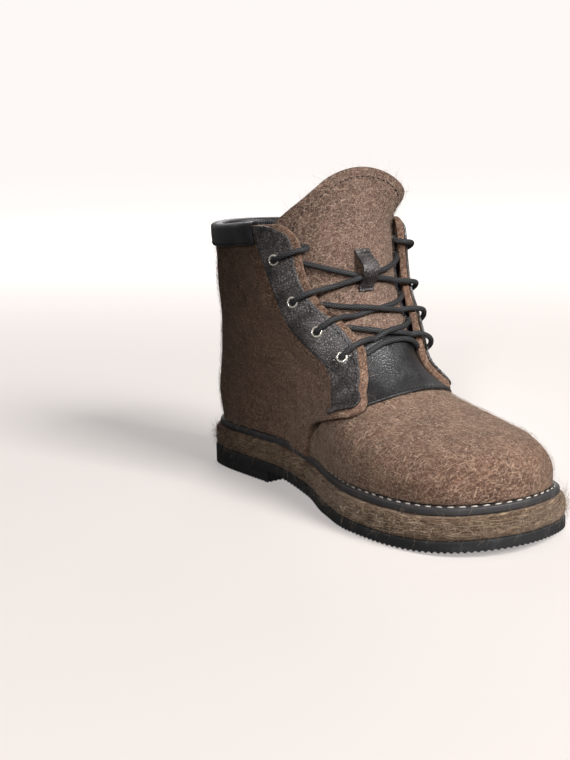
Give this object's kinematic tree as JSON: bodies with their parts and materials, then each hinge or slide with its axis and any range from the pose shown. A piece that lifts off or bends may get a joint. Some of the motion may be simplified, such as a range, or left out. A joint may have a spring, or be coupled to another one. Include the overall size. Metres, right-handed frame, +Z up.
{
  "type": "felt boot",
  "caption": "Ankle-high lace-up boot of thick brown felt with a felt midsole, rubber welt and outsole, leather eyelet facings, wide round tongue and round laces; left foot.",
  "frame": {"origin": "centre of the boot's bounding box at the floor", "axes": "+Y toward the heel, -Y toward the toe, +X lateral, -X medial, +Z up"},
  "size_m": [0.1118, 0.272, 0.189],
  "materials": {
    "felt": "thick heathered brown felt, matt",
    "midsole_felt": "pressed tan-brown felt, cut edge",
    "leather": "black pebbled leather, semi-gloss",
    "outsole_rubber": "matt black rubber",
    "welt_rubber": "satin dark grey rubber",
    "nickel": "bright nickel plating",
    "lace": "dark braided cord"
  },
  "bodies": {
    "root": {"outsole": "outsole_rubber", "heel_lift": "outsole_rubber", "midsole": "midsole_felt", "welt": "welt_rubber", "insole": "felt", "upper": "felt", "tongue": "felt", "tongue_base": "leather", "facing_medial": "leather", "facing_lateral": "leather", "collar_binding": "leather", "lace_loop": "leather", "lace_bar": "lace", "lace_crossing_1": "lace", "lace_crossing_2": "lace", "lace_crossing_3": "lace", "lace_end_medial": "lace", "lace_end_lateral": "lace", "eyelet_medial_1": "nickel", "eyelet_medial_2": "nickel", "eyelet_medial_3": "nickel", "eyelet_medial_4": "nickel", "eyelet_lateral_1": "nickel", "eyelet_lateral_2": "nickel", "eyelet_lateral_3": "nickel", "eyelet_lateral_4": "nickel"}
  },
  "joints": []
}
